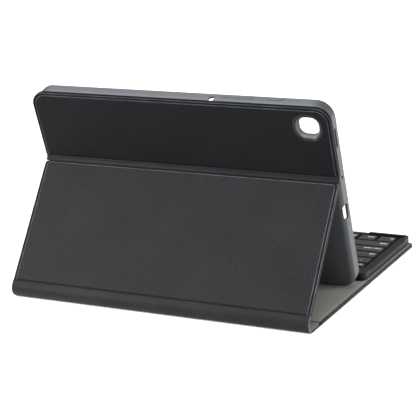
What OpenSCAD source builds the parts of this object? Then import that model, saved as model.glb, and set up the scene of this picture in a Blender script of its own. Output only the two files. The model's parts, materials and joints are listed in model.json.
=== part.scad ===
// Tablet keyboard case, standing open.
// A flexible tray holds the tablet, a wrapped cover folds behind it as a stand,
// and a thin keyboard is held on the front panel by magnets.
// Millimetres, +Z up, the user sits on the -Y side. The origin is at the middle
// of the footprint, on the table.

/* [Tablet] */
// Width of the tablet that the tray holds
tablet_w = 244.5; // [240:0.5:248]
// Height of the tablet, measured up its face
tablet_h = 154.3; // [150:0.1:156]
// Thickness of the tablet
tablet_t = 7; // [6.5:0.1:7.5]

/* [Tray] */
// Wall round the tablet
tray_wall = 1.6; // [1.2:0.1:2]
// Play between the tablet and the wall
tray_play = 0.15; // [0.1:0.05:0.3]
// Thickness of the tray's back
tray_back = 1.8; // [1.2:0.1:2]
// Thickness of the lip over the tablet's glass
lip_t = 1.8; // [1.2:0.1:2]
// How far the lip reaches in over the glass
lip_reach = 1.6; // [1:0.1:2.5]
// Radius of the tray's four corners
tray_corner = 13; // [10:0.5:15]
// Travel of the two button pads
pad_travel = 0.4; // [0.2:0.1:0.5]
// Clearance round a button pad
pad_gap = 0.3; // [0.2:0.05:0.5]

/* [Cover] */
// Width of the wrapped cover
cover_w = 251; // [250:0.5:254]
// Outer leather skin
skin_t = 0.8; // [0.6:0.1:1]
// Stiff board inside each panel
board_t = 1.3; // [1:0.1:1.6]
// Microfibre lining
lining_t = 0.5; // [0.4:0.1:0.6]
// Bonding sheet between the back panel and the tray
bond_t = 0.7; // [0.5:0.1:1.2]
// Radius of the back panel's top corners
cover_corner = 12; // [9:0.5:14]
// Radius of the small panel corners
small_corner = 5; // [3:0.5:7]

/* [Stance] */
// Lean of the tray, back from upright
lean = 16.5; // [15:0.5:18]
// Slope of the stand panel above the table
stand_slope = 54.1; // [53.5:0.1:54.5]
// Length of the stand panel, from spine to fold
stand_len = 106.3; // [106:0.1:107.5]
// Length of the back panel, from fold to top
back_len = 58.5; // [57:0.5:60]
// Outer radius of the rolled spine
spine_r = 7; // [6.5:0.1:7.5]
// Depth of the footprint, front edge to spine
footprint = 219.2; // [216:0.2:224]

/* [Keyboard] */
// Width of the keyboard
kb_w = 246; // [244:0.5:248]
// Depth of the keyboard
kb_d = 103.5; // [101:0.5:104]
// Thickness of the keyboard case
kb_t = 5.3; // [5.2:0.1:6]
// Height of the raised corner guards over the deck
guard_h = 1; // [0.6:0.1:1.4]
// Key pitch across
key_pitch = 16.5; // [16:0.1:16.6]
// Key pitch from row to row
row_pitch = 14.2; // [13.8:0.1:14.3]
// Gap between two keys
key_gap = 3; // [2.5:0.1:3.5]
// Travel of a key
key_travel = 1.1; // [1:0.05:1.1]

/* [Hidden] */

// Small allowances that several parts share
snug = 0.05;          // between parts of one body
run_gap = 0.3;        // between parts that move past each other
thin_fn = 48;

panel_t = skin_t + board_t + lining_t;
pocket_w = tablet_w + 2 * tray_play;
pocket_h = tablet_h + 2 * tray_play;
pocket_t = tablet_t + 0.2;
tray_w = pocket_w + 2 * tray_wall;
tray_h = pocket_h + 2 * tray_wall;
tray_t = tray_back + pocket_t + lip_t;
tray_top = back_len + 0.2;              // above the fold, in the tray's own frame
tray_mid = tray_top - tray_h / 2;
tray_y = -(skin_t + board_t + bond_t);  // back face of the tray in the tray's own frame

spine_y = footprint / 2 - spine_r;      // centre of the spine's roll
front_y = -footprint / 2;
strip_t = skin_t + lining_t;            // the spine strip has no board
end_r = strip_t / 2;                    // rounded end of the strip at each crease
crease_gap = end_r + 0.2;               // panels stop short of a crease by this much
// Start of the spine's roll on the stand panel, outer face
roll_y = spine_y + spine_r * sin(stand_slope);
roll_z = spine_r * (1 + cos(stand_slope));
// Fold line between the stand panel and the back panel, outer face
fold_y = roll_y - stand_len * cos(stand_slope);
fold_z = roll_z + stand_len * sin(stand_slope);

// Where the boards stop beside the soft strips
front_board_back = spine_y - 14.5;
stand_board_low = 3.6;
fold_board_up = 2.2;
fold_board_down = 2.8;
edge_in = 1.2;                          // board inset from the wrapped edge
inner_w = cover_w - 2 * edge_in;

// Camera opening, in the tray's own frame
cam_x = -106.5;
cam_z = back_len - 16.5;
cam_w = 15.5;
cam_h = 13.8;
cam_r = 5.6;
cam_rim = 3.8;                          // the cover's hole is wider by this all round

// Openings through the tray's walls, as [centre, length, width, offset from the tablet's
// middle towards its back]
port_y = tray_y - tray_back - pocket_t / 2;
left_slots = [[30.5, 16, 2.6, 0.4], [-2.5, 3, 2.6, 0], [-31, 12.6, 5.6, 1.7]];
right_slots = [[tray_mid + 34, 16, 2.6, 0.4], [tray_mid, 13.4, 5.6, 0.6], [tray_mid - 34, 16, 2.6, 0.4]];
top_slots = [[-30, 4.8, 4.6, 1.9]];
volume_pos = [-49.7, 25, 3.6, -1.4];
power_pos = [-80.2, 12.8, 3.6, -1.4];

// Keyboard levels, upwards from the lining it lies on
feet_t = 0.3;
kb_y0 = front_y + 1.5;                  // front edge of the keyboard
kb_y1 = kb_y0 + kb_d;
kb_z0 = panel_t + feet_t;
kb_z1 = kb_z0 + kb_t;
case_floor = 0.8;
case_wall = 1.4;
case_top = kb_z0 + 2.7;
kb_corner = 5;
plate_z = kb_z0 + case_floor + 1.5;
plate_t = 0.35;
membrane_z = plate_z + plate_t;
membrane_t = 0.2;
grid_z = case_top + 0.15;
grid_t = 0.8;
cap_top = kb_z1 + 0.5;
press_clear = 0.15;                     // left under a key that is fully down
cap_h = cap_top - membrane_z - membrane_t - press_clear - key_travel;
cap_wall = 0.8;
cap_roof = 0.85;
cap_r = 1.2;
dome_top = membrane_z + membrane_t + 0.55;
field_front = 6;                        // key field inset at the front
field_w = 14 * key_pitch;
short_row = 10;
field_d = 5 * row_pitch + short_row;
field_y0 = kb_y0 + field_front;
bay_edge = 0.8;                         // bay edge outside the key field
bay_w = field_w + 2 * bay_edge;

// Key rows from the front: each key's width in units
modifier_row = [1, 1, 1, 1, 5, 1, 1, 1, 1, 1];
shift_row = [2.25, 1, 1, 1, 1, 1, 1, 1, 1, 1, 1, 1.75];
home_row = [1.75, 1, 1, 1, 1, 1, 1, 1, 1, 1, 1, 1, 1.25];
upper_row = [1.5, 1, 1, 1, 1, 1, 1, 1, 1, 1, 1, 1, 1.5];
single_row = [for (i = [1:14]) 1];
rows = [modifier_row, shift_row, home_row, upper_row, single_row, single_row];

function row_d(r) = r == 5 ? short_row : row_pitch;
function units_before(r, k) = k == 0 ? 0 : rows[r][k - 1] + units_before(r, k - 1);
function key_x(r, k) = -field_w / 2 + key_pitch * (units_before(r, k) + rows[r][k] / 2);
function key_y(r) = field_y0 + r * row_pitch + row_d(r) / 2;
function key_w(r, k) = key_pitch * rows[r][k] - key_gap;
function key_d(r) = row_d(r) - key_gap;

magnet_d = 10;
magnet_t = 1;
magnet_spots = [for (x = [-100, 0, 100], y = [kb_y0 + 8, kb_y1 - 8]) [x, y]];
battery_size = [84, 40, 1.3];
port_size = [7.4, 8.9, 3];
port_z = kb_z0 + case_floor + 0.15 + port_size[2] / 2;
switch_y = kb_y1 - 40;
switch_len = 5.4;
switch_travel = 2;
stem_up = 0.9;                          // stem room's height over the case's joint
board_z = kb_z0 + case_floor + 0.1;
board_size = [46, 11, 0.8];
stem_z = board_z + board_size[2] + 0.45;
board_x0 = 45;
screw_spots = [for (x = [-108, -36, 36, 108]) [x, kb_y1 - 4]];
boss_d = 4;
shank_d = 1.2;
head_d = 2.6;
head_t = 0.55;
rear_y = kb_y1 - 11;                    // middle of the strip behind the keys
socket_y = kb_y1 - 9.2;
pair_x = 64;
lens_x = [74, 79, 84];

leather = "#2b2b2e";
leather_stand = "#45464a";
lining_grey = "#6a6964";
board_brown = "#7b6f60";
tray_grey = "#878a8f";
key_black = "#3a3b3f";
case_black = "#424346";

// A rectangle with four round corners, centred
module rounded(w, h, r) {
    square([w - 2 * r, h], center = true);
    square([w, h - 2 * r], center = true);
    for (x = [-1, 1], y = [-1, 1])
        translate([x * (w / 2 - r), y * (h / 2 - r)]) circle(r = r, $fn = thin_fn);
}

// An outline from low to high, with round corners at its high end only
module tab_outline(w, low, high, r) {
    translate([-w / 2, low]) square([w, high - low - r]);
    translate([-w / 2 + r, low]) square([w - 2 * r, high - low]);
    for (x = [-1, 1])
        translate([x * (w / 2 - r), high - r]) circle(r = r, $fn = thin_fn);
}

// Puts an outline drawn as (x, z) upright, from depth y0 back to y1
module upright(y0, y1) {
    translate([0, y1, 0]) rotate([90, 0, 0]) linear_extrude(y1 - y0) children();
}

// Extrudes a side view drawn as (y, z) across a width
module across(w) {
    translate([-w / 2, 0, 0]) rotate([90, 0, 90]) linear_extrude(w) children();
}

// The tray's own frame: fold line at the origin, Z up the tray, +Y out of its back
module on_tray() {
    translate([0, fold_y, fold_z]) rotate([-lean, 0, 0]) children();
}

// The stand panel's own frame: spine end at the origin, Z up the panel, +Y outwards
module on_stand() {
    translate([0, roll_y, roll_z]) rotate([90 - stand_slope, 0, 0]) children();
}

// ---- Front panel, flat on the table
front_end = spine_y - crease_gap;

module front_outline(inset, back) {
    d = back - front_y - inset;
    translate([0, back]) mirror([0, 1]) tab_outline(cover_w - 2 * inset, 0, d, small_corner - inset);
}

module front_skin() {
    color(leather) difference() {
        linear_extrude(panel_t) front_outline(0, front_board_back);
        translate([0, 0, skin_t]) linear_extrude(panel_t)
            front_outline(edge_in - snug, front_board_back + 1);
    }
    color(leather) translate([-cover_w / 2, front_board_back, 0])
        cube([cover_w, front_end - front_board_back, skin_t]);
}

module front_board() {
    color(board_brown) difference() {
        translate([0, 0, skin_t]) linear_extrude(board_t) front_outline(edge_in, front_board_back);
        for (p = magnet_spots)
            translate([p[0], p[1], skin_t + board_t - magnet_t - snug])
                cylinder(d = magnet_d + 0.2, h = board_t, $fn = 40);
    }
}

module front_lining() {
    color(lining_grey) translate([0, 0, skin_t + board_t])
        linear_extrude(lining_t) front_outline(edge_in, front_board_back);
    color(lining_grey) translate([-cover_w / 2 + edge_in, front_board_back, skin_t])
        cube([inner_w, front_end - front_board_back, lining_t]);
    color(lining_grey) translate([-cover_w / 2 + edge_in, front_board_back, skin_t])
        cube([inner_w, 0.8, board_t + lining_t]);
}

module cover_magnets() {
    color("silver") for (p = magnet_spots)
        translate([p[0], p[1], skin_t + board_t - magnet_t])
            cylinder(d = magnet_d, h = magnet_t, $fn = 40);
}

// ---- Spine: a soft strip rolled between the two creases
module spine_ring(outer, inner) {
    across(cover_w) translate([spine_y, spine_r]) intersection() {
        difference() {
            circle(r = outer, $fn = 96);
            circle(r = inner, $fn = 96);
        }
        polygon([[0, 0], [0, -3 * spine_r], [3 * spine_r, -3 * spine_r],
            3 * spine_r * [sin(stand_slope), cos(stand_slope)]]);
    }
}

module spine_skin() {
    color(leather) spine_ring(spine_r, spine_r - skin_t);
}

module spine_lining() {
    color(lining_grey) spine_ring(spine_r - skin_t, spine_r - strip_t);
}

// ---- Stand panel
stand_top = stand_len - run_gap;

module stand_skin() {
    color(leather_stand) on_stand() difference() {
        upright(-panel_t, 0) tab_outline(cover_w, stand_board_low - edge_in, stand_top, small_corner);
        upright(-panel_t - 1, -skin_t)
            tab_outline(inner_w + 2 * snug, 0, stand_top - edge_in + snug, small_corner - edge_in);
    }
    color(leather_stand) on_stand() translate([-cover_w / 2, -skin_t, crease_gap])
        cube([cover_w, skin_t, stand_board_low - edge_in - crease_gap]);
}

module stand_board() {
    color(board_brown) on_stand() upright(-skin_t - board_t, -skin_t)
        tab_outline(inner_w, stand_board_low, stand_len - fold_board_down, small_corner - edge_in);
}

module stand_lining() {
    color(lining_grey) on_stand() difference() {
        upright(-panel_t, -skin_t) translate([-cover_w / 2 + edge_in, crease_gap])
            square([inner_w, stand_top - edge_in - small_corner - crease_gap]);
        upright(-skin_t - board_t, -skin_t + 1) translate([-cover_w / 2, stand_board_low - snug])
            square([cover_w, stand_len]);
        upright(-panel_t - 1, -strip_t) translate([-cover_w / 2, 0])
            square([cover_w, stand_board_low - 0.8]);
    }
}

// ---- Back panel, bonded to the tray
module camera_hole(grow) {
    translate([cam_x, cam_z]) rounded(cam_w + 2 * grow, cam_h + 2 * grow, cam_r + grow);
}

module back_skin() {
    color(leather) on_tray() difference() {
        upright(tray_y + snug, 0) tab_outline(cover_w, run_gap, back_len, cover_corner);
        upright(tray_y - 1, -skin_t)
            tab_outline(inner_w, run_gap + edge_in, back_len - edge_in, cover_corner - edge_in);
        upright(tray_y - 1, 1) camera_hole(cam_rim);
    }
}

module back_board() {
    color(board_brown) on_tray() upright(-skin_t - board_t, -skin_t) difference() {
        tab_outline(inner_w - 2 * snug, fold_board_up, back_len - edge_in - snug, cover_corner - edge_in);
        camera_hole(cam_rim);
    }
}

module bonding_sheet() {
    color("gainsboro") on_tray() upright(tray_y, -skin_t - board_t) difference() {
        tab_outline(cover_w - 10, fold_board_up + 1, back_len - 4, cover_corner - 4);
        camera_hole(cam_rim + 0.4);
    }
}

// Black trim between the cover's hole and the tray's, wider at its outer end
module camera_ring() {
    color("black") on_tray() difference() {
        upright(tray_y + snug, -0.2) camera_hole(cam_rim - 0.1);
        upright(tray_y - 1, 0) camera_hole(0);
        upright(-skin_t - 0.5, 0) camera_hole(cam_rim / 2);
    }
}

// ---- Tray
module slot_through_side(s) {
    translate([0, port_y + s[3], s[0]]) rotate([0, 90, 0]) linear_extrude(tray_wall * 4, center = true)
        rounded(s[1], s[2], s[2] / 2 - 0.01);
}

module slot_through_top(s, grow = 0) {
    translate([s[0], port_y + s[3], tray_top]) linear_extrude(tray_wall * 4, center = true)
        rounded(s[1] + 2 * grow, s[2] + 2 * grow, s[2] / 2 + grow - 0.01);
}

// The tray's whole outline, drawn as (x, z)
module tray_outline(inset) {
    translate([0, tray_mid]) rounded(tray_w - 2 * inset, tray_h - 2 * inset, tray_corner - inset);
}

// Puts an outline drawn as (x, z) where the tray's walls stand
module wall_depth() {
    upright(tray_y - tray_t, tray_y - tray_back) children();
}

module tray_back() {
    color(tray_grey) on_tray() difference() {
        upright(tray_y - tray_back, tray_y) difference() {
            tray_outline(0);
            camera_hole(0);
        }
        cut_left_slots();
        for (s = top_slots) slot_through_top(s);
    }
}

module cut_left_slots() {
    for (s = left_slots)
        translate([-tray_w / 2, 0, 0]) slot_through_side(s);
}

module side_wall(x) {
    wall_depth() translate([x, tray_mid]) square([tray_wall, tray_h - 2 * tray_corner], center = true);
}

module tray_left_wall() {
    color(tray_grey) on_tray() difference() {
        side_wall((tray_wall - tray_w) / 2);
        cut_left_slots();
    }
}

module tray_right_wall() {
    color(tray_grey) on_tray() difference() {
        side_wall((tray_w - tray_wall) / 2);
        for (s = right_slots)
            translate([tray_w / 2, 0, 0]) slot_through_side(s);
    }
}

module tray_top_wall() {
    color(tray_grey) on_tray() difference() {
        wall_depth() translate([0, tray_top - tray_wall / 2])
            square([tray_w - 2 * tray_corner, tray_wall], center = true);
        for (s = top_slots) slot_through_top(s);
        slot_through_top(volume_pos, pad_gap);
        slot_through_top(power_pos, pad_gap);
    }
}

module tray_bottom_wall() {
    color(tray_grey) on_tray() wall_depth() translate([0, tray_top - tray_h + tray_wall / 2])
        square([tray_w - 2 * tray_corner, tray_wall], center = true);
}

module tray_corners() {
    color(tray_grey) on_tray() wall_depth() difference() {
        tray_outline(0);
        tray_outline(tray_wall);
        translate([0, tray_mid]) square([tray_w - 2 * tray_corner, tray_h + 2], center = true);
        translate([0, tray_mid]) square([tray_w + 2, tray_h - 2 * tray_corner], center = true);
    }
}

// The lip stands inside the walls, over the edge of the glass
module tray_lip() {
    color(tray_grey) on_tray() upright(tray_y - tray_t, tray_y - tray_t + lip_t) difference() {
        tray_outline(tray_wall);
        tray_outline(tray_wall + lip_reach);
    }
}

module button_pad(s) {
    pad_h = tray_wall + pad_travel + 0.1;
    color(tray_grey) on_tray() translate([s[0], port_y + s[3], tray_top - tray_wall])
        linear_extrude(pad_h) rounded(s[1], s[2], s[2] / 2 - 0.01);
}

module volume_pad() {
    button_pad(volume_pos);
}

module power_pad() {
    button_pad(power_pos);
}

// ---- Keyboard case
module kb_outline(inset) {
    translate([0, (kb_y0 + kb_y1) / 2]) rounded(kb_w - 2 * inset, kb_d - 2 * inset, kb_corner - inset);
}

module bay(grow) {
    translate([-bay_w / 2 - grow, field_y0 - bay_edge - grow])
        square([bay_w + 2 * grow, field_d + 2 * bay_edge + 2 * grow]);
}

module bottom_case() {
    color(case_black) difference() {
        translate([0, 0, kb_z0]) linear_extrude(case_top - kb_z0) kb_outline(0);
        difference() {
            translate([0, 0, kb_z0 + case_floor]) linear_extrude(kb_t) kb_outline(case_wall);
            for (p = screw_spots)
                translate([p[0], p[1], kb_z0]) cylinder(d = boss_d, h = kb_t, $fn = 32);
        }
        for (p = screw_spots)
            translate([p[0], p[1], kb_z0 - 1]) {
                cylinder(d = shank_d + 0.2, h = kb_t, $fn = 24);
                cylinder(d = head_d + 0.2, h = 1 + head_t + snug, $fn = 32);
            }
        port_cut(0.1);
        switch_slot();
    }
}

module top_frame() {
    guard_front = 36;
    guard_side = 14;
    color(case_black) difference() {
        union() {
            translate([0, 0, case_top]) linear_extrude(kb_z1 - case_top) kb_outline(0);
            translate([0, 0, kb_z1]) linear_extrude(guard_h) difference() {
                kb_outline(0);
                kb_outline(3.2);
                translate([-kb_w / 2 + guard_front, kb_y0 - 1]) square([kb_w - 2 * guard_front, kb_d + 2]);
                translate([-kb_w / 2 - 1, kb_y0 + guard_side]) square([kb_w + 2, kb_d - 2 * guard_side]);
            }
        }
        translate([0, 0, case_top - 1]) linear_extrude(kb_t * 2) bay(0);
        translate([0, 0, case_top - 1]) linear_extrude(grid_z + grid_t + snug - case_top + 1) bay(2);
        for (p = screw_spots)
            translate([p[0], p[1], case_top - 1]) cylinder(d = shank_d + 0.1, h = 2.2, $fn = 24);
        translate([pair_x, rear_y, case_top - 1]) linear_extrude(kb_t) rounded(6.4, 3.4, 1.6);
        for (x = lens_x)
            translate([x, rear_y, case_top - 1]) linear_extrude(kb_t) rounded(2.4, 1.2, 0.5);
        port_cut(0.1);
        stem_room();
    }
}

// Room under the deck for the button's stem and the lenses
module stem_room() {
    translate([pair_x - 6, rear_y - 3, case_top - 1]) cube([lens_x[2] - pair_x + 9, 6, 1 + stem_up]);
}

module key_openings(grow) {
    for (r = [0:5], k = [0:len(rows[r]) - 1])
        translate([key_x(r, k), key_y(r)])
            square([key_w(r, k) + 2 * grow, key_d(r) + 2 * grow], center = true);
}

module key_grid() {
    color("#151517") translate([0, 0, grid_z]) linear_extrude(grid_t) difference() {
        bay(1.9);
        key_openings(0.4);
    }
}

module support_plate() {
    color("silver") translate([0, 0, plate_z]) linear_extrude(plate_t) bay(1.5);
}

module switch_membrane() {
    color("#1b1b1e") translate([0, 0, membrane_z]) linear_extrude(membrane_t) bay(1.2);
}

module rubber_domes() {
    color("#9a9a9a") for (r = [0:5], k = [0:len(rows[r]) - 1])
        translate([key_x(r, k), key_y(r), membrane_z + membrane_t])
            cylinder(d = r == 5 ? 2.6 : 4, h = dome_top - membrane_z - membrane_t, $fn = 24);
}

module scissor_frames() {
    frame_t = 0.45;
    color("white") for (r = [0:5], k = [0:len(rows[r]) - 1])
        translate([key_x(r, k), key_y(r), membrane_z + membrane_t]) linear_extrude(frame_t) difference() {
            square([9, key_d(r) - 2 * cap_wall - 0.5], center = true);
            square([6.6, key_d(r) - 2 * cap_wall - 2], center = true);
        }
}

// ---- Electronics, most of them in the strip behind the keys
module main_board() {
    color("darkgreen") translate([board_x0, rear_y - board_size[1] / 2, board_z])
        cube(board_size);
}

module battery() {
    color("#8d9096") translate([-40, kb_y0 + 50, kb_z0 + case_floor])
        linear_extrude(battery_size[2]) rounded(battery_size[0], battery_size[1], 2);
}

// The socket's round-ended outline, standing across the case's side wall
module port_shape(depth, grow) {
    rotate([90, 0, 90]) linear_extrude(depth)
        rounded(port_size[1] + 2 * grow, port_size[2] + 2 * grow, port_size[2] / 2 + grow - 0.01);
}

module port_cut(grow) {
    translate([kb_w / 2 - port_size[0] - 0.5, socket_y, port_z]) port_shape(port_size[0] + 2, grow);
}

module charging_port() {
    port_wall = 0.35;
    color("silver") translate([kb_w / 2 - port_size[0] - 0.2, socket_y, port_z]) {
        difference() {
            port_shape(port_size[0], 0);
            translate([0.6, 0, 0]) port_shape(port_size[0], -port_wall);
        }
        translate([0.6, 0, 0]) rotate([90, 0, 90]) linear_extrude(port_size[0] - 1.6)
            square([port_size[1] - 3, 0.7], center = true);
    }
}

module switch_slot() {
    translate([kb_w / 2 - case_wall - 1, switch_y, kb_z0 + case_floor + 0.2])
        cube([case_wall + 2, switch_len + switch_travel + 2 * run_gap, 1.6]);
}

module power_switch() {
    color("#202022") translate([kb_w / 2 - case_wall - 0.6, switch_y + run_gap, kb_z0 + case_floor + 0.4])
        cube([case_wall + 1.1, switch_len, 1.2]);
}

module pairing_button() {
    color("#202022") translate([pair_x, rear_y, case_top + stem_up])
        linear_extrude(kb_z1 - case_top - stem_up + 0.3) rounded(5.8, 2.8, 1.3);
    color("#202022") translate([pair_x, rear_y, stem_z])
        cylinder(d = 1.6, h = case_top + stem_up - stem_z, $fn = 24);
}

module indicator_lenses() {
    color("white") for (x = lens_x)
        translate([x, rear_y, case_top + 0.3])
            linear_extrude(kb_z1 - case_top - 0.25) rounded(2.3, 1.1, 0.45);
}

module keyboard_magnets() {
    color("silver") for (p = magnet_spots)
        translate([p[0], p[1], kb_z0 + case_floor]) cylinder(d = magnet_d - 2, h = 0.6, $fn = 40);
}

module case_screws() {
    color("dimgray") for (p = screw_spots)
        translate([p[0], p[1], kb_z0 + snug]) {
            cylinder(d = head_d, h = head_t, $fn = 32);
            cylinder(d = shank_d, h = case_top - kb_z0 + 1, $fn = 24);
        }
}

module rubber_feet() {
    color("#1c1c1e") for (x = [-1, 1], y = [kb_y0 + 5, kb_y1 - 5])
        translate([x * (kb_w / 2 - 16), y, panel_t]) linear_extrude(feet_t) rounded(16, 4, 1.9);
}

// ---- Keys
module key_cap(w, d) {
    translate([0, 0, cap_top - cap_h]) difference() {
        linear_extrude(cap_h) rounded(w, d, cap_r);
        translate([0, 0, -1]) linear_extrude(1 + cap_h - cap_roof)
            square([w - 2 * cap_wall, d - 2 * cap_wall], center = true);
    }
}

module keys(r, first, last) {
    color(key_black) for (k = [first:last])
        translate([key_x(r, k), key_y(r), 0]) key_cap(key_w(r, k), key_d(r));
}

module escape_key() {
    keys(5, 0, 0);
}
module function_row_keys() {
    keys(5, 1, 13);
}
module grave_key() {
    keys(4, 0, 0);
}
module number_row_keys() {
    keys(4, 1, 12);
}
module backspace_key() {
    keys(4, 13, 13);
}
module tab_key() {
    keys(3, 0, 0);
}
module upper_row_keys() {
    keys(3, 1, 12);
}
module caps_lock_key() {
    keys(2, 0, 0);
}
module home_row_keys() {
    keys(2, 1, 11);
}
module enter_key() {
    keys(2, 12, 12);
}
module left_shift_key() {
    keys(1, 0, 0);
}
module lower_row_keys() {
    keys(1, 1, 10);
}
module right_shift_key() {
    keys(1, 11, 11);
}
module modifier_keys() {
    keys(0, 0, 3);
    keys(0, 5, 6);
}
module space_bar() {
    keys(0, 4, 4);
}
module arrow_keys() {
    keys(0, 7, 9);
}

front_skin();
front_board();
front_lining();
cover_magnets();
spine_skin();
spine_lining();
stand_skin();
stand_board();
stand_lining();
back_skin();
back_board();
bonding_sheet();
camera_ring();
tray_back();
tray_left_wall();
tray_right_wall();
tray_top_wall();
tray_bottom_wall();
tray_corners();
tray_lip();
volume_pad();
power_pad();
bottom_case();
top_frame();
key_grid();
support_plate();
switch_membrane();
rubber_domes();
scissor_frames();
main_board();
battery();
charging_port();
power_switch();
pairing_button();
indicator_lenses();
keyboard_magnets();
case_screws();
rubber_feet();
escape_key();
function_row_keys();
grave_key();
number_row_keys();
backspace_key();
tab_key();
upper_row_keys();
caps_lock_key();
home_row_keys();
enter_key();
left_shift_key();
lower_row_keys();
right_shift_key();
modifier_keys();
space_bar();
arrow_keys();
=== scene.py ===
import json
import math
import bmesh
import bpy
from mathutils import Euler, Matrix, Vector


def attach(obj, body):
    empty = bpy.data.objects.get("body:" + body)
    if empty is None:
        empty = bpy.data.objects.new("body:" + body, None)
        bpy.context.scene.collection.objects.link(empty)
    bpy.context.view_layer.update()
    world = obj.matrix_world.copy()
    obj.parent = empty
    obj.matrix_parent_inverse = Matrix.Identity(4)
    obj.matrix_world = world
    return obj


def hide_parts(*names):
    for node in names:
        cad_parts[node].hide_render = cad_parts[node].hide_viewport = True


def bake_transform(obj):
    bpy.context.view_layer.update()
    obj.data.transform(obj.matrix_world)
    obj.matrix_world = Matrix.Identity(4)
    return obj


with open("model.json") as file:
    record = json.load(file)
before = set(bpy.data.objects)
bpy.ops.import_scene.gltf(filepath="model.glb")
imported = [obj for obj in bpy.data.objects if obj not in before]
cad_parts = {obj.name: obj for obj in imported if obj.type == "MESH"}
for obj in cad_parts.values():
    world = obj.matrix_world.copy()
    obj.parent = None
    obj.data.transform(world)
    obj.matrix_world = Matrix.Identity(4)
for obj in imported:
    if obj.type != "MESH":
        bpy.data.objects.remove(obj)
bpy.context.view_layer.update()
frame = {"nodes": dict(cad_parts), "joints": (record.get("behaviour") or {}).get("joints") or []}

mm = 0.001
scene = bpy.context.scene
nodes = frame["nodes"]
jointPlace = {j["name"]: Vector(j["pos_m"]) / mm for j in frame["joints"] if "pos_m" in j}
print("frame loaded")


# Camera and light

camera = dict(place=(-0.5374, 1.0390, 0.3906), heading=152.3387, dip=16.1033, tilt=-2.9575, lens=132.88)
light = dict(zenith=0.42, horizon=0.45, sunPower=3.9, sunFrom=(-0.16, 0.5, 0.85), sunSpread=60,
             sidePower=28.0, sideSize=0.9, sidePlace=(-1.9, -0.55, 0.5),
             leftPower=42.0, leftSize=1.1, leftPlace=(1.3, 1.3, 0.9))

view = bpy.data.objects.new("camera", bpy.data.cameras.new("camera"))
scene.collection.objects.link(view)
turn = Euler((math.radians(90 - camera["dip"]), 0, math.radians(-camera["heading"]))).to_matrix()
turn = (turn @ Matrix.Rotation(math.radians(camera["tilt"]), 3, "Z")).to_4x4()
view.matrix_world = Matrix.Translation(camera["place"]) @ turn
view.data.lens = camera["lens"]
view.data.sensor_width = 36
view.data.clip_end = 20
scene.camera = view
scene.view_settings.view_transform = "Standard"


def softLight(name, place, power, size):
    lamp = bpy.data.lights.new(name, "AREA")
    lamp.energy = power
    lamp.size = size
    holder = bpy.data.objects.new(name, lamp)
    holder.location = place
    holder.rotation_euler = (Vector((0, 0, 0.05)) - Vector(place)).to_track_quat("-Z", "Y").to_euler()
    scene.collection.objects.link(holder)


softLight("sideLight", light["sidePlace"], light["sidePower"], light["sideSize"])
softLight("leftLight", light["leftPlace"], light["leftPower"], light["leftSize"])
sun = bpy.data.objects.new("keyLight", bpy.data.lights.new("keyLight", "SUN"))
sun.data.energy = light["sunPower"]
sun.data.angle = math.radians(light["sunSpread"])
sun.rotation_euler = (-Vector(light["sunFrom"])).to_track_quat("-Z", "Y").to_euler()
scene.collection.objects.link(sun)


# Materials: a level is a socket that can be used in sums

class Level:
    def __init__(self, finish, socket):
        self.finish = finish
        self.socket = socket

    def work(self, operation, *others):
        sockets = {index: value for index, value in enumerate((self,) + others)}
        return self.finish.add("ShaderNodeMath", {"operation": operation}, sockets)

    def __add__(self, other):
        return self.work("ADD", other)

    __radd__ = __add__

    def __mul__(self, other):
        return self.work("MULTIPLY", other)

    __rmul__ = __mul__

    def __sub__(self, other):
        return self.work("SUBTRACT", other)

    def __rsub__(self, other):
        return self.work("MULTIPLY", -1).work("ADD", other)

    def __pow__(self, other):
        return self.work("POWER", other)

    def __abs__(self):
        return self.work("ABSOLUTE")

    def high(self, other):
        return self.work("MAXIMUM", other)

    def low(self, other):
        return self.work("MINIMUM", other)

    def between(self, start, end):
        sockets = {0: self, 1: start, 2: end, 3: 0.0, 4: 1.0}
        return self.finish.add("ShaderNodeMapRange", {"interpolation_type": "SMOOTHSTEP"}, sockets)


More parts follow.
